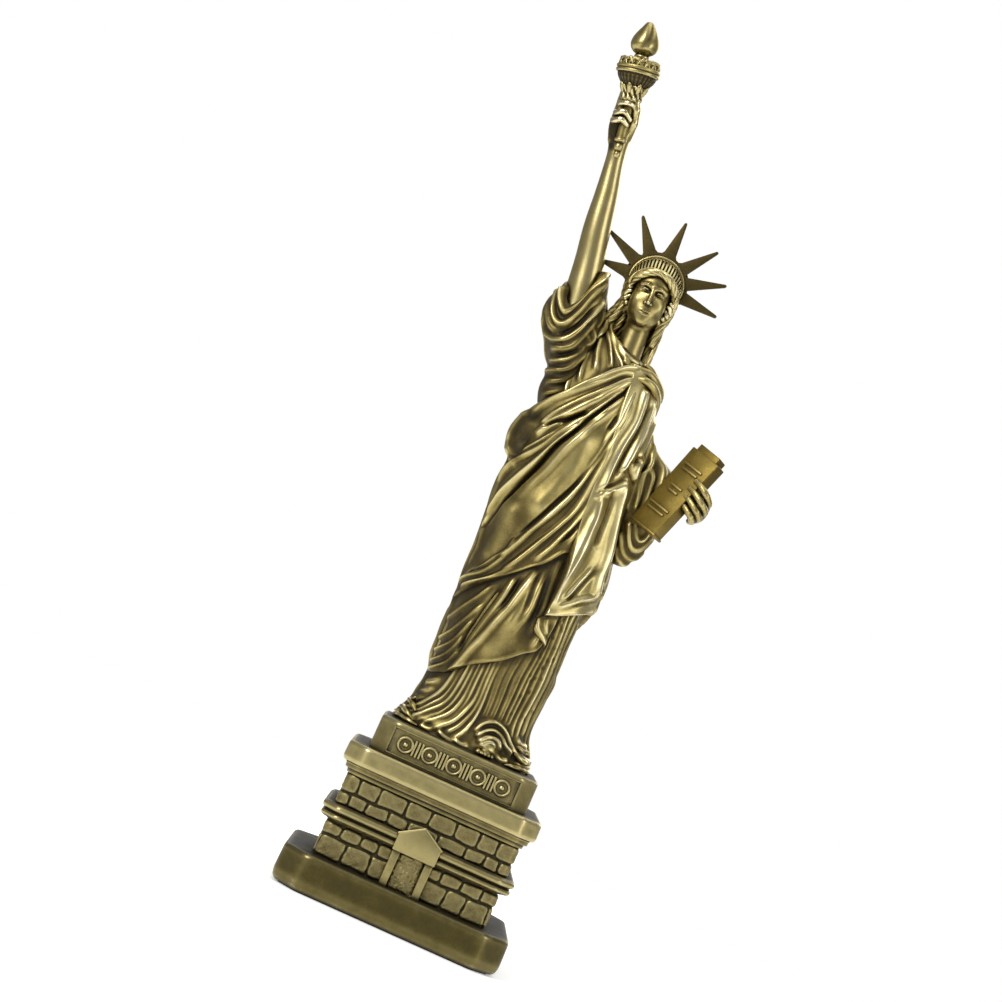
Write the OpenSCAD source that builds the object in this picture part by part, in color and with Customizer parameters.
// Miniature landmark model: a robed figure with a raised torch on a stone pedestal.
// Millimetres, +Z up, the figure faces -Y. The origin is the middle of the underside.

/* [Pedestal] */
// Width of the base slab
slab_w = 64.4; // [62:0.2:68]
// Depth of the base slab
slab_d = 62; // [60:0.5:66]
// Height of the base slab, underside to top face
slab_h = 10.4; // [9.5:0.1:13]
// Chamfer on the four corners of the base slab
slab_chamfer = 6.5; // [4:0.5:8]
// Width and depth of the stone walls
wall_w = 49; // [48:0.5:51]
// Height of the lower stone wall
lower_wall_h = 10; // [9:0.5:12]
// Height of the upper stone wall
upper_wall_h = 8.6; // [8:0.2:11]
// Height of the moulding between the two walls
belt_h = 4.5; // [4:0.1:6]
// How far the moulding stands out of the walls
belt_out = 2.5; // [1.5:0.1:3]
// Height of the stepped moulding under the cornice
bed_h = 2.4; // [2:0.1:3]
// Width and depth of the cornice slab
cornice_w = 54.6; // [53:0.2:57]
// Height of the cornice slab
cornice_h = 5.6; // [5:0.1:7]
// Width and depth of the plinth
plinth_w = 45; // [44:0.5:47]
// Height of the plinth
plinth_h = 9.3; // [8.5:0.1:11]
// Wall thickness of the hollow castings
cast_t = 2.4; // [2:0.1:3]

/* [Doorway] */
// Width over the door posts
door_w = 11.4; // [10:0.2:13]
// Width of the door opening
door_open_w = 6.8; // [6:0.2:7.6]
// Width of the gable block
gable_w = 12; // [11.4:0.2:14]

/* [Fixings] */
// Radius of the tie screw
screw_r = 2; // [1.5:0.1:2.5]
// Gap around a pin or screw in its hole
pin_gap = 0.05; // [0.03:0.01:0.1]
// Thickness of the felt pad
pad_t = 1.2; // [0.8:0.1:2]

/* [Crown and torch] */
// Radius of the ray tips from the middle of the crown
ray_r = 18.7; // [16:0.1:20]
// Thickness of the ray plate
ray_t = 1; // [0.8:0.1:1.4]
// Radius of the torch gallery
gallery_r = 5.9; // [5:0.1:6.5]
// Widest radius of the flame
flame_r = 3.7; // [3:0.1:4.2]

/* [Tablet] */
// Length of the tablet
tablet_l = 25.5; // [22:0.5:28]
// Width of the tablet
tablet_w = 10.5; // [9:0.5:12]
// Thickness of the tablet
tablet_t = 4; // [3:0.5:4.5]

/* [Hidden] */

brass = [0.58, 0.51, 0.30];
dark_brass = [0.36, 0.30, 0.14];
steel = [0.62, 0.62, 0.62];
felt = [0.08, 0.10, 0.08];

// Levels of the stacked pedestal castings
z_wall1 = slab_h;
z_belt = z_wall1 + lower_wall_h;
z_wall2 = z_belt + belt_h;
z_bed = z_wall2 + upper_wall_h;
z_cornice = z_bed + bed_h;
z_plinth = z_cornice + cornice_h;
z_figure = z_plinth + plinth_h;

plate_t = 2;          // floor of the slab, and of each casting that the screw goes through
tongue_h = 1.2;       // height of the locating tongues
fit_gap = 0.1;        // gap around a tongue
screw_hole_r = screw_r + 0.2;
screw_top = 14;       // how far the screw reaches into the figure
washer_t = 0.8;
head_h = 2.4;
curve_fn = 48;

// ---------- shared shapes ----------

// A rectangle with its corners cut off
module cut_corners(w, d, c) {
    polygon([[w / 2 - c, -d / 2], [w / 2, -d / 2 + c], [w / 2, d / 2 - c], [w / 2 - c, d / 2],
             [c - w / 2, d / 2], [-w / 2, d / 2 - c], [-w / 2, c - d / 2], [c - w / 2, -d / 2]]);
}

module block(w, d, c, h) {
    linear_extrude(h) cut_corners(w, d, c);
}

module up(z) {
    translate([0, 0, z]) children();
}

// A solid skinned over rings of points, each ring with the same number of points
module skin(rings) {
    n = len(rings[0]);
    m = len(rings);
    points = [for (r = rings) each r];
    sides = [for (j = [0 : m - 2], i = [0 : n - 1], k = [0, 1])
             let (a = j * n + i, b = j * n + (i + 1) % n)
             k == 0 ? [a, a + n, b + n] : [a, b + n, b]];
    bottom = [for (i = [1 : n - 2]) [0, i, i + 1]];
    top = [for (i = [1 : n - 2]) [(m - 1) * n, (m - 1) * n + i + 1, (m - 1) * n + i]];
    polyhedron(points, concat(sides, bottom, top));
}

function ring(s, n) = [for (i = [0 : n - 1]) let (a = 360 * i / n)
                       [s[0] + s[3] * cos(a), s[1] + s[4] * sin(a), s[2]]];

// A limb through level rings, each given as [x, y, z, half width, half depth]
module limb(sections, n = 20) {
    skin([for (s = sections) ring(s, n)]);
}

// ---------- pedestal ----------

module felt_pad() {
    color(felt) block(slab_w - 5, slab_d - 5, slab_chamfer - 1.5, pad_t);
}

module base_slab() {
    edge = 2.2;     // rounding of the lower edge, as a chamfer
    lip = 0.4;      // the pad stands this far below the metal
    rim = 2.5;      // from the outside to the pad's pocket
    color(brass) difference() {
        union() {
            hull() {
                up(lip) block(slab_w - 2 * edge, slab_d - 2 * edge, slab_chamfer, 0.1);
                up(lip + edge) block(slab_w, slab_d, slab_chamfer, 0.1);
            }
            up(lip + edge) block(slab_w, slab_d, slab_chamfer, slab_h - lip - edge);
            up(slab_h) block(wall_w - 2 * cast_t - 2 * fit_gap, wall_w - 2 * cast_t - 2 * fit_gap, 1, tongue_h);
        }
        up(-1) block(slab_w - 2 * rim + 0.2, slab_d - 2 * rim + 0.2, slab_chamfer - 1.4, 1 + pad_t);
        up(pad_t - 0.01) block(slab_w - 2 * rim - 4, slab_d - 2 * rim - 4, slab_chamfer - 2,
                               slab_h - plate_t - pad_t);
        cylinder(r = screw_hole_r, h = slab_h + 5, $fn = curve_fn);
    }
}

module tie_screw() {
    tip = z_figure + screw_top - 1;
    z_head = slab_h - plate_t - washer_t - head_h;
    color(steel) difference() {
        union() {
            up(z_head) cylinder(r = 2 * screw_r - 0.2, h = head_h, $fn = curve_fn);
            up(z_head) cylinder(r = screw_r, h = tip - z_head, $fn = curve_fn);
        }
        up(z_head - 0.01) cylinder(r = 1.3, h = 1.4, $fn = 6);
    }
}

module screw_washer() {
    color(steel) up(slab_h - plate_t - washer_t) difference() {
        cylinder(r = 2 * screw_r + 0.8, h = washer_t, $fn = curve_fn);
        up(-1) cylinder(r = screw_r + 0.1, h = washer_t + 2, $fn = curve_fn);
    }
}

// A hollow wall casting with slightly cut corners
module wall_ring(h) {
    difference() {
        block(wall_w, wall_w, 1.2, h);
        up(-1) block(wall_w - 2 * cast_t, wall_w - 2 * cast_t, 1, h + 2);
    }
}

module lower_wall() {
    color(brass) difference() {
        up(z_wall1) wall_ring(lower_wall_h);
        translate([-door_open_w / 2 - 0.6, -wall_w / 2 - 1, z_wall1 - 1]) cube([door_open_w + 1.2, 2.4, lower_wall_h + 0.5]);
    }
}

// Posts and gable block that stand in front of the walls and across the moulding
module door_frame() {
    front = wall_w / 2 + 1.7;      // front of the posts, from the middle
    gable_z = z_belt - 0.3;
    eaves_h = 4.7;
    gable_h = 3.4;
    color(brass) difference() {
        union() {
            translate([-door_w / 2, -front, z_wall1]) cube([door_w, front - wall_w / 2, gable_z - z_wall1]);
            translate([0, -wall_w / 2, gable_z]) rotate([90, 0, 0]) linear_extrude(front - wall_w / 2 + 1)
                polygon([[-gable_w / 2, 0], [gable_w / 2, 0], [gable_w / 2, eaves_h], [0, eaves_h + gable_h],
                         [-gable_w / 2, eaves_h]]);
        }
        translate([-door_open_w / 2, -front - 1, z_wall1 - 1]) cube([door_open_w, front, gable_z - z_wall1 + 1]);
    }
}

module door_panel() {
    color(dark_brass) translate([-door_open_w / 2 + 0.05, -wall_w / 2 - 0.2, z_wall1 + 0.05])
        cube([door_open_w - 0.1, 1.5, lower_wall_h - 0.6]);
}

// Two round bands around the pedestal, broken by the doorway
module belt_moulding() {
    w = wall_w + 2 * belt_out;
    inner = wall_w - 2 * cast_t;
    groove = 0.7;
    color(brass) difference() {
        up(z_belt) union() {
            block(w - 2, w - 2, 2.4, belt_h);
            up(0.3) block(w - 0.6, w - 0.6, 3, belt_h / 2 - groove);
            up(belt_h / 2 + 0.3) block(w, w, 3.2, belt_h / 2 - groove + 0.2);
        }
        up(z_belt - 1) block(inner, inner, 1, belt_h + 2);
        translate([-gable_w / 2 - 0.05, -w, z_belt - 1]) cube([gable_w + 0.1, w - wall_w / 2, belt_h + 2]);
    }
}

module upper_wall() {
    color(brass) up(z_wall2) wall_ring(upper_wall_h);
}

module bed_moulding() {
    color(brass) difference() {
        up(z_bed) union() {
            block(wall_w + 1.6, wall_w + 1.6, 2, bed_h / 2);
            up(bed_h / 2) block(wall_w + 3.4, wall_w + 3.4, 2.6, bed_h / 2);
        }
        up(z_bed - 1) block(wall_w - 2 * cast_t, wall_w - 2 * cast_t, 1, bed_h + 2);
    }
}

module cornice_slab() {
    boss = wall_w - 2 * cast_t - 2 * fit_gap;
    color(brass) difference() {
        union() {
            up(z_cornice) block(cornice_w, cornice_w, 5, cornice_h);
            up(z_cornice - tongue_h) block(boss, boss, 1, tongue_h);
        }
        up(z_cornice - tongue_h - 1) block(boss - 6, boss - 6, 1, tongue_h + 1 + cornice_h - plate_t);
        up(z_cornice - 5) cylinder(r = screw_hole_r, h = cornice_h + 10, $fn = curve_fn);
    }
}

module plinth_block() {
    color(brass) difference() {
        up(z_plinth) block(plinth_w, plinth_w, 4.2, plinth_h);
        up(z_plinth - 1) block(plinth_w - 8, plinth_w - 8, 2, plinth_h + 1 - plate_t);
        up(z_plinth - 1) cylinder(r = screw_hole_r, h = plinth_h + 2, $fn = curve_fn);
        for (x = [-pin_x, pin_x])
            translate([x, 0, z_figure - plate_t - 1]) cylinder(r = pin_r + pin_gap, h = plate_t + 2, $fn = curve_fn);
        translate([-plate_w / 2, -plinth_w / 2 - 1, plate_z]) cube([plate_w, 1.4, plate_h]);
    }
}

plate_w = 35.6;                         // plate set into the front of the plinth
plate_h = 6.6;
plate_z = z_plinth + (plinth_h - plate_h) / 2;

// Front plate with a raised frieze of discs between triple bars
module frieze_plate() {
    y_back = -plinth_w / 2 + 0.4;
    discs = 5;
    pitch = 6.9;
    color(brass) {
        translate([-plate_w / 2 + 0.05, y_back - 0.4, plate_z + 0.05]) cube([plate_w - 0.1, 0.4, plate_h - 0.1]);
        translate([0, y_back - 0.35, plate_z + plate_h / 2]) {
            for (i = [0 : discs - 1])
                translate([(i - (discs - 1) / 2) * pitch, 0, 0]) rotate([90, 0, 0]) {
                    difference() {
                        cylinder(r = 1.9, h = 0.75, $fn = curve_fn);
                        up(0.4) cylinder(r = 1.2, h = 1, $fn = curve_fn);
                    }
                    cylinder(r = 0.6, h = 0.75, $fn = curve_fn);
                }
            for (i = [0 : discs - 2], k = [-1, 0, 1])
                translate([(i - (discs - 2) / 2) * pitch + 0.95 * k - 0.3, -0.75, -2.1]) cube([0.6, 0.76, 4.2]);
        }
    }
}

pin_x = 9;      // the two locating pins under the figure
pin_r = 1.25;

module locating_pins() {
    color(steel) for (x = [-pin_x, pin_x])
        translate([x, 0, z_figure - plate_t]) cylinder(r = pin_r, h = plate_t + 4, $fn = curve_fn);
}

// ---------- robed body ----------

// Body rings above the plinth: height, x of the middle, half width, y of the middle, half depth
body = [[0, -0.2, 20, -0.5, 15.5], [3, -0.5, 18.4, -0.5, 14.5], [7, -0.8, 16.6, 0, 13.5], [19, -0.7, 16.8, 0, 13],
        [29, -0.8, 17.6, 0, 13], [39, -0.5, 18.9, 0, 13], [49, 0.1, 18.7, 0, 12.8], [59, -1, 18.5, 0, 12.5],
        [69, -2.9, 18.4, 0, 12.2], [79, -4, 18.8, 0, 12], [85, -4.2, 18.4, 0, 11.8], [94, -3.4, 15.6, 0, 11],
        [99, -3.6, 15.4, 0.2, 10.5], [104, -3.8, 14.7, 0.3, 10], [109, -3, 13, 0.5, 8.5],
        [113, -2.5, 9, 0.6, 6.5], [116, -2, 5, 0.6, 5]];
cloth_t = 1.6;      // thickness of the mantle over the tunic

function track(k, z) = lookup(z, [for (s = body) [s[0], s[k]]]);
function on_body(a, z, out) = [track(1, z) + (track(2, z) + out) * cos(a),
                               track(3, z) + (track(4, z) + out) * sin(a), z + z_figure];

// Lower hem and upper edge of the mantle, by the angle around the body, 270 at the front
hem_line = [[0, 46], [45, 44], [90, 34], [135, 23], [180, 15], [225, 17], [270, 24], [285, 29], [292, 41],
            [330, 46], [360, 46]];
top_line = [[0, 107], [45, 108], [90, 104], [135, 97], [180, 92], [210, 96], [240, 101], [270, 107],
            [300, 109], [360, 107]];

module tunic() {
    n = 40;
    color(brass) difference() {
        skin([for (s = body) [for (i = [0 : n - 1]) on_body(360 * i / n, s[0], s[0] > 5 ? -cloth_t : 0)]]);
        up(z_figure - 1) cylinder(r = screw_r + pin_gap, h = screw_top + 1, $fn = curve_fn);
        for (x = [-pin_x, pin_x])
            translate([x, 0, z_figure - 1]) cylinder(r = pin_r + pin_gap, h = 5.2, $fn = curve_fn);
        up(z_figure + neck_z) cylinder_at(neck_x, neck_y, neck_r + pin_gap, 20);
    }
}

module cylinder_at(x, y, r, h) {
    translate([x, y, 0]) cylinder(r = r, h = h, $fn = curve_fn);
}

// The mantle is a closed shell around the tunic
module mantle() {
    n = 40;
    m = 14;
    gap = 0.06;
    function at(i, t, out) = let (a = 360 * i / n, z0 = lookup(a, hem_line), z1 = lookup(a, top_line))
                             on_body(a, z0 + t * (z1 - z0), out);
    outer = [for (j = [0 : m]) [for (i = [0 : n - 1]) at(i, j / m, 0)]];
    inner = [for (j = [m : -1 : 0]) [for (i = [0 : n - 1]) at(i, j / m, gap - cloth_t)]];
    rings = concat(outer, inner);
    rows = len(rings);
    faces = [for (j = [0 : rows - 1], i = [0 : n - 1], k = [0, 1])
             let (q = (j + 1) % rows, a = j * n + i, b = j * n + (i + 1) % n, c = q * n + i, d = q * n + (i + 1) % n)
             k == 0 ? [a, c, d] : [a, d, b]];
    color(brass) polyhedron([for (r = rings) each r], faces);
}

// ---------- feet ----------

module foot(x, y, turn) {
    translate([x, y, z_figure]) rotate([0, 0, turn]) hull() {
        translate([0, 2, 0]) cylinder(r = 2.6, h = 3.2, $fn = 24);
        translate([0, -3, 0]) cylinder(r = 2.4, h = 1.6, $fn = 24);
    }
}

module tunic_space() {
    skin([for (z = [-1, 0, 3, 7]) [for (i = [0 : 39]) on_body(360 * i / 40, max(z, 0), 0.05) + [0, 0, min(z, 0)]]]);
}

module left_foot() {
    color(brass) difference() {
        foot(7.5, -15, 0);
        tunic_space();
    }
}

module right_foot() {
    color(brass) difference() {
        foot(-15, 12, 150);
        tunic_space();
    }
}

// ---------- raised arm and torch ----------

arm = [[-17.5, 0, 113, 4.4, 4.2], [-18.6, 0, 120, 4.6, 4.4], [-20.4, -0.2, 127, 4.6, 4.4], [-21.8, -0.4, 134, 4.2, 4.1],
       [-23.1, -0.6, 140, 3.7, 3.8], [-24.7, -1, 149, 3.5, 3.5], [-25.8, -1.2, 154, 3.05, 3.1],
       [-26.9, -1.5, 159, 2.6, 2.7], [-27.8, -1.8, 163.5, 2.35, 2.3], [-28.4, -2, 167, 3.1, 2.6],
       [-28.7, -2.1, 171, 3.4, 2.9], [-28.9, -2.2, 175, 3.1, 2.7], [-29.2, -2.3, 178, 2.2, 2.2]];

torch_foot = [-27, -4.2, 162.6];    // lower end of the torch's axis, above the plinth
torch_lean = -9.8;                  // to the figure's right
torch_pitch = 5;                    // towards the front

module torch_frame() {
    up(z_figure) translate(torch_foot) rotate([0, torch_lean, 0]) rotate([torch_pitch, 0, 0]) children();
}

handle_r = 1.75;

module raised_arm() {
    color(brass) difference() {
        up(z_figure) limb(arm, 24);
        torch_frame() up(-2) cylinder(r = handle_r + pin_gap, h = 24, $fn = curve_fn);
        arm_hole(pin_gap);
    }
}

// The steel dowel that holds the raised arm to the body
module arm_hole(gap) {
    up(z_figure + 114.5) translate([-21, 0.5, 0]) rotate([0, 90, 0]) cylinder(r = 1.2 + gap, h = 12, $fn = curve_fn);
}

module arm_dowel() {
    color(steel) arm_hole(0);
}

module torch_handle() {
    color(brass) torch_frame() rotate_extrude($fn = curve_fn)
        polygon([[0, 0], [1, 0.2], [1.3, 1.2], [0.9, 2], [handle_r, 3], [handle_r, 15.6], [2.3, 16], [2.1, 16.8],
                 [2.6, 18], [2.7, 19.4], [3.1, 20], [2.3, 20.4], [2.3, 21.6], [0, 21.6]]);
}

module torch_gallery() {
    color(brass) torch_frame() up(21.6) rotate_extrude($fn = curve_fn)
        polygon([[0, 0], [2.4, 0], [4.4, 1.2], [gallery_r, 2.6], [gallery_r, 3.3], [gallery_r - 0.35, 3.6],
                 [gallery_r, 3.9], [gallery_r, 4.5], [gallery_r - 0.5, 4.7], [gallery_r - 0.5, 6.6],
                 [gallery_r - 1.3, 6.6], [gallery_r - 1.3, 4.8], [0.95, 4.8], [0.95, 3.5], [0, 3.5]]);
}

module torch_flame() {
    tip = 12.89;
    color(brass) torch_frame() up(26.4) rotate_extrude($fn = curve_fn)
        polygon(concat([[0, -1.2], [0.9, -1.2], [0.9, 0], [2.4, 0], [2.4, 0.8], [1.9, 1.2], [2.1, 2]],
                       [for (t = [0.1 : 0.1 : 0.9]) [flame_r * pow(sin(180 * pow(t, 0.62)), 0.9), 2 + t * (tip - 4)]],
                       [[0, tip - 2]]));
}

// Bunched cloth around the shoulder of the raised arm
module right_sleeve() {
    sleeve = [[-17, 0.5, 96, 3.8, 7], [-17.4, 0.5, 101, 5, 7.6], [-18, 0.5, 108, 6.4, 7.6], [-19.6, 0.3, 113, 8.4, 7.6],
              [-19.8, 0, 117, 8.6, 7.4], [-19.2, 0, 121, 7.8, 6.8], [-19, 0, 126, 6.6, 6.2], [-18.6, 0, 131, 4.6, 5.2]];
    color(brass) difference() {
        up(z_figure) limb(sleeve, 24);
        up(z_figure) limb([for (s = arm) s + [0, 0, 0, 0.06, 0.06]], 24);
        skin([for (s = body) if (s[0] > 90) [for (i = [0 : 31]) on_body(360 * i / 32, s[0], 0.05)]]);
        arm_hole(pin_gap);
    }
}

// ---------- left arm and tablet ----------

tablet_middle = [26.2, -9.5, 86.8];      // above the plinth
tablet_lean = 18.4;
tablet_yaw = -38;

module tablet_frame() {
    up(z_figure) translate(tablet_middle) rotate([0, tablet_lean, 0]) rotate([0, 0, tablet_yaw]) children();
}

module tablet() {
    w = tablet_w;
    l = tablet_l;
    tab = 2;        // the head of the tablet is narrower and stands above it
    color(dark_brass) tablet_frame() difference() {
        translate([0, tablet_t / 2, -l / 2]) rotate([90, 0, 0]) linear_extrude(tablet_t)
            polygon([[-w / 2, 0], [w / 2, 0], [w / 2, l], [w / 2 - 1, l], [w / 2 - 1, l + tab],
                     [1.2 - w / 2, l + tab], [1.2 - w / 2, l], [-w / 2, l]]);
        for (z = [-4, 4]) tablet_pin(z, pin_gap);
    }
}

module tablet_pin(z, gap) {
    translate([3, tablet_t / 2 - 1.8, z]) rotate([-90, 0, 0]) cylinder(r = 0.6 + gap, h = 4, $fn = curve_fn);
}

module tablet_pins() {
    color(steel) tablet_frame() for (z = [-4, 4]) tablet_pin(z, 0);
}

module left_hand() {
    palm = [[4.2, tablet_t / 2 + 1.7, -5.5, 1.6, 1.5], [4.4, tablet_t / 2 + 1.8, -2, 2.2, 1.7],
            [4.4, tablet_t / 2 + 1.8, 3, 2.2, 1.7], [4.2, tablet_t / 2 + 1.7, 5.5, 1.6, 1.5]];
    fingers = 4;
    color(brass) tablet_frame() difference() {
        union() {
            limb(palm, 16);
            for (i = [0 : fingers - 1]) translate([0, 0, (i - 1.5) * 2.4]) hull() {
                translate([tablet_w / 2 + 1.1, tablet_t / 2 + 0.8, 0]) sphere(r = 1.1, $fn = 16);
                translate([tablet_w / 2 + 1, -tablet_t / 2 - 0.4, 0.4]) sphere(r = 1, $fn = 16);
                translate([tablet_w / 2 - 2.6, -tablet_t / 2 - 0.8, 1.4]) sphere(r = 0.85, $fn = 16);
            }
        }
        translate([-20, -tablet_t / 2 - 0.02, -20]) cube([20 + tablet_w / 2 + 0.02, tablet_t + 0.04, 40]);
        for (z = [-4, 4]) tablet_pin(z, pin_gap);
    }
}

// Sleeve over the bent left arm, with the pouch of cloth that hangs from the elbow
module left_sleeve() {
    color(brass) difference() {
        up(z_figure) union() {
            hull() {
                translate([8.5, 0.5, 104]) sphere(r = 4.2, $fn = 24);
                translate([14.5, 1, 92]) sphere(r = 4.4, $fn = 24);
            }
            hull() {
                translate([14.5, 1, 92]) sphere(r = 4.4, $fn = 24);
                translate([22, -2.5, 86]) sphere(r = 3.4, $fn = 24);
            }
            hull() {
                translate([16, 1, 88]) sphere(r = 4.6, $fn = 24);
                translate([20.5, -1, 76]) sphere(r = 3.9, $fn = 24);
                translate([19, 0, 67]) sphere(r = 2.8, $fn = 24);
            }
        }
        skin([for (s = body) if (s[0] > 40) [for (i = [0 : 31]) on_body(360 * i / 32, s[0], 0.05)]]);
        tablet_frame() translate([-20, -tablet_t / 2 - 20, -25]) cube([40, tablet_t + 20.05, 50]);
    }
}

// ---------- head ----------

neck_x = -1.6;
neck_y = 0.4;
neck_z = 112;
neck_r = 3.2;

module head() {
    face = [[-2.4, -1.6, 121.8, 2, 2.2], [-2.5, -1.5, 123.4, 3.6, 3.8], [-2.7, -1.2, 127, 4.7, 5.4],
            [-2.8, -1, 132, 5.2, 6], [-2.9, -0.8, 137, 5.2, 6], [-3, -0.4, 140.5, 4.2, 5], [-3, 0, 142.6, 2, 2.4]];
    color(brass) {
        up(z_figure) limb(face, 24);
        up(z_figure + neck_z + 0.5) cylinder_at(neck_x, neck_y, neck_r, 12);
    }
}

// The hair wraps the head and falls in a lock behind the neck
module hair() {
    cap = [[-3, 4, 114, 2.6, 1.6], [-3, 3.6, 118, 5.2, 2.6], [-3, 2.8, 122, 6.4, 3.6], [-3, 1.6, 127, 6.9, 5.6],
           [-3, 1, 132, 7.2, 6.6], [-3, 1, 137, 6.8, 6.8], [-3, 1, 141, 5, 5.6], [-3, 1, 143.6, 2, 2.4]];
    color(brass) difference() {
        up(z_figure) limb(cap, 24);
        up(z_figure) limb([[-2.4, -1.6, 121.7, 2.1, 2.3], [-2.5, -1.5, 123.4, 3.7, 3.9], [-2.7, -1.2, 127, 4.8, 5.5],
                           [-2.8, -1, 132, 5.3, 6.1], [-2.9, -0.8, 137, 5.3, 6.1], [-3, -0.4, 140.5, 4.3, 5.1],
                           [-3, 0, 142.7, 2.1, 2.5]], 24);
        up(z_figure + 100) cylinder_at(neck_x, neck_y, neck_r + pin_gap, 26);
        skin([for (s = body) if (s[0] > 100) [for (i = [0 : 31]) on_body(360 * i / 32, s[0], 0.05)]]);
    }
}

crown_z = 136.2;        // middle of the crown, above the plinth
crown_x = -3;
crown_y = 2.4;
ring_r = 9.2;

module crown_frame(y) {
    up(z_figure + crown_z) translate([crown_x, y, 0]) rotate([90, 0, 0]) children();
}

// A half band that flares forward over the brow, in front of the ray plate
module diadem() {
    color(brass) crown_frame(crown_y - ray_t) rotate([0, 0, -8]) rotate_extrude(angle = 196, $fn = curve_fn)
        polygon([[7.4, 0], [8.6, 0], [8, 4.6], [7, 5.6], [6.3, 5.4], [7, 3.6]]);
}

// Flat plate with seven rays around the head
module ray_crown() {
    fan = [0, -36, 36, -64, 64, -91.5, 91.5];
    color(dark_brass) crown_frame(crown_y) linear_extrude(ray_t) difference() {
        union() {
            intersection() {
                circle(r = ring_r, $fn = curve_fn);
                translate([-ring_r, -2.6]) square([2 * ring_r, 2 * ring_r]);
            }
            for (a = fan) rotate(a + 2) polygon([[-2, 8], [2, 8], [0.35, ray_r], [-0.35, ray_r]]);
        }
        circle(r = 7.3, $fn = curve_fn);
    }
}

felt_pad();
base_slab();
tie_screw();
screw_washer();
lower_wall();
door_frame();
door_panel();
belt_moulding();
upper_wall();
bed_moulding();
cornice_slab();
plinth_block();
frieze_plate();
locating_pins();
tunic();
mantle();
left_foot();
right_foot();
right_sleeve();
raised_arm();
arm_dowel();
torch_handle();
torch_gallery();
torch_flame();
left_sleeve();
left_hand();
tablet();
tablet_pins();
head();
hair();
diadem();
ray_crown();
